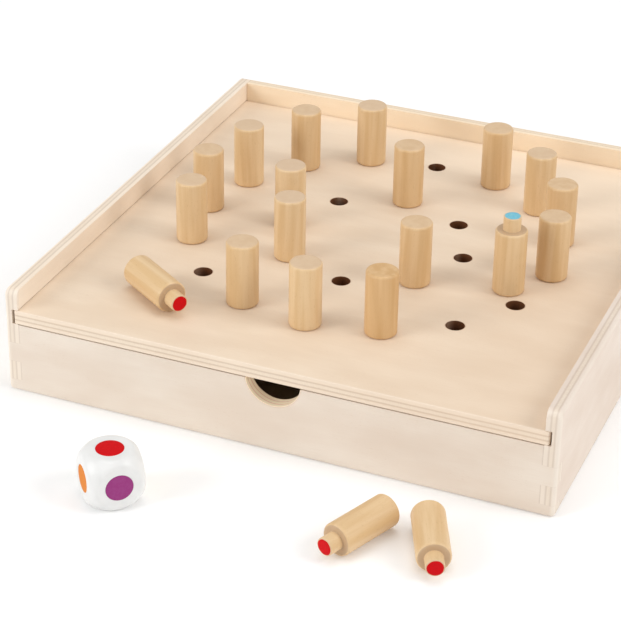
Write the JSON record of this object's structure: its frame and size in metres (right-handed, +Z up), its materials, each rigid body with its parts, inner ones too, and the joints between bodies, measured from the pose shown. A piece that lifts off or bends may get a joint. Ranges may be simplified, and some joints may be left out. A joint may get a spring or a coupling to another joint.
{
  "type": "wooden colour-memory peg game",
  "caption": "Square wooden box with a sliding lid that is the drilled playing board, turned pegs with coloured ends, and a rounded colour die.",
  "frame": {"origin": "middle of the box's underside, which stands on the table", "axes": "+Z up; +Y from the low front wall to the back wall; +X to the right as seen from the front"},
  "size_m": [0.21, 0.2713, 0.0648],
  "materials": {
    "wall_plywood": "sanded, unvarnished three-ply",
    "board_plywood": "sanded, unvarnished three-ply",
    "thin_plywood": "sanded, unvarnished",
    "dowel_wood": "turned, unvarnished",
    "die_plastic": "glossy",
    "red_paint": "satin paint",
    "light_blue_paint": "satin paint",
    "purple_paint": "satin paint",
    "orange_paint": "satin paint",
    "green_paint": "satin paint",
    "yellow_paint": "satin paint"
  },
  "bodies": {
    "box": {"front_wall": "wall_plywood", "back_wall": "wall_plywood", "left_wall": "wall_plywood", "right_wall": "wall_plywood", "bottom_panel": "thin_plywood"},
    "board": {"playing_board": "board_plywood"},
    "outer_peg_01": {"outer_peg_01": "dowel_wood"},
    "outer_peg_02": {"outer_peg_02": "dowel_wood"},
    "outer_peg_03": {"outer_peg_03": "dowel_wood"},
    "outer_peg_04": {"outer_peg_04": "dowel_wood"},
    "outer_peg_05": {"outer_peg_05": "dowel_wood"},
    "outer_peg_06": {"outer_peg_06": "dowel_wood"},
    "outer_peg_07": {"outer_peg_07": "dowel_wood"},
    "outer_peg_08": {"outer_peg_08": "dowel_wood"},
    "outer_peg_09": {"outer_peg_09": "dowel_wood"},
    "outer_peg_10": {"outer_peg_10": "dowel_wood"},
    "outer_peg_11": {"outer_peg_11": "dowel_wood"},
    "outer_peg_12": {"outer_peg_12": "dowel_wood"},
    "inner_peg_01": {"inner_peg_01": "dowel_wood"},
    "inner_peg_02": {"inner_peg_02": "dowel_wood"},
    "inner_peg_03": {"inner_peg_03": "dowel_wood"},
    "inner_peg_04": {"inner_peg_04": "dowel_wood"},
    "upturned_peg": {"upturned_peg": "dowel_wood"},
    "lying_peg": {"lying_peg": "dowel_wood"},
    "table_peg_1": {"table_peg_1": "dowel_wood"},
    "table_peg_2": {"table_peg_2": "dowel_wood"},
    "colour_die": {"colour_die": "die_plastic"},
    "stored_peg_1": {"stored_peg_1": "dowel_wood"},
    "stored_peg_2": {"stored_peg_2": "dowel_wood"},
    "stored_peg_3": {"stored_peg_3": "dowel_wood"},
    "stored_peg_4": {"stored_peg_4": "dowel_wood"}
  },
  "joints": [
    {"name": "board_slide", "type": "slide", "parent": "box", "child": "board", "axis": [0, -1, 0], "range_m": [0, 0.205]},
    {"name": "outer_peg_01_lift", "type": "slide", "parent": "board", "child": "outer_peg_01", "axis": [0, 0, 1], "range_m": [0, 0.04]},
    {"name": "outer_peg_02_lift", "type": "slide", "parent": "board", "child": "outer_peg_02", "axis": [0, 0, 1], "range_m": [0, 0.04]},
    {"name": "outer_peg_03_lift", "type": "slide", "parent": "board", "child": "outer_peg_03", "axis": [0, 0, 1], "range_m": [0, 0.04]},
    {"name": "outer_peg_04_lift", "type": "slide", "parent": "board", "child": "outer_peg_04", "axis": [0, 0, 1], "range_m": [0, 0.04]},
    {"name": "outer_peg_05_lift", "type": "slide", "parent": "board", "child": "outer_peg_05", "axis": [0, 0, 1], "range_m": [0, 0.04]},
    {"name": "outer_peg_06_lift", "type": "slide", "parent": "board", "child": "outer_peg_06", "axis": [0, 0, 1], "range_m": [0, 0.04]},
    {"name": "outer_peg_07_lift", "type": "slide", "parent": "board", "child": "outer_peg_07", "axis": [0, 0, 1], "range_m": [0, 0.04]},
    {"name": "outer_peg_08_lift", "type": "slide", "parent": "board", "child": "outer_peg_08", "axis": [0, 0, 1], "range_m": [0, 0.04]},
    {"name": "outer_peg_09_lift", "type": "slide", "parent": "board", "child": "outer_peg_09", "axis": [0, 0, 1], "range_m": [0, 0.04]},
    {"name": "outer_peg_10_lift", "type": "slide", "parent": "board", "child": "outer_peg_10", "axis": [0, 0, 1], "range_m": [0, 0.04]},
    {"name": "outer_peg_11_lift", "type": "slide", "parent": "board", "child": "outer_peg_11", "axis": [0, 0, 1], "range_m": [0, 0.04]},
    {"name": "outer_peg_12_lift", "type": "slide", "parent": "board", "child": "outer_peg_12", "axis": [0, 0, 1], "range_m": [0, 0.04]},
    {"name": "inner_peg_01_lift", "type": "slide", "parent": "board", "child": "inner_peg_01", "axis": [0, 0, 1], "range_m": [0, 0.04]},
    {"name": "inner_peg_02_lift", "type": "slide", "parent": "board", "child": "inner_peg_02", "axis": [0, 0, 1], "range_m": [0, 0.04]},
    {"name": "inner_peg_03_lift", "type": "slide", "parent": "board", "child": "inner_peg_03", "axis": [0, 0, 1], "range_m": [0, 0.04]},
    {"name": "inner_peg_04_lift", "type": "slide", "parent": "board", "child": "inner_peg_04", "axis": [0, 0, 1], "range_m": [0, 0.04]},
    {"name": "upturned_peg_lift", "type": "slide", "parent": "board", "child": "upturned_peg", "axis": [0, 0, 1], "range_m": [0, 0.04]},
    {"name": "lying_peg_lift", "type": "slide", "parent": "board", "child": "lying_peg", "axis": [0, 0, 1], "range_m": [0, 0.04]},
    {"name": "table_peg_1_lift", "type": "slide", "parent": "box", "child": "table_peg_1", "axis": [0, 0, 1], "range_m": [0, 0.008]},
    {"name": "table_peg_2_lift", "type": "slide", "parent": "box", "child": "table_peg_2", "axis": [0, 0, 1], "range_m": [0, 0.008]},
    {"name": "colour_die_lift", "type": "slide", "parent": "box", "child": "colour_die", "axis": [0, 0, 1], "range_m": [0, 0.008]},
    {"name": "stored_peg_1_lift", "type": "slide", "parent": "box", "child": "stored_peg_1", "axis": [0, 0, 1], "range_m": [0, 0.01]},
    {"name": "stored_peg_2_lift", "type": "slide", "parent": "box", "child": "stored_peg_2", "axis": [0, 0, 1], "range_m": [0, 0.01]},
    {"name": "stored_peg_3_lift", "type": "slide", "parent": "box", "child": "stored_peg_3", "axis": [0, 0, 1], "range_m": [0, 0.01]},
    {"name": "stored_peg_4_lift", "type": "slide", "parent": "box", "child": "stored_peg_4", "axis": [0, 0, 1], "range_m": [0, 0.01]}
  ]
}
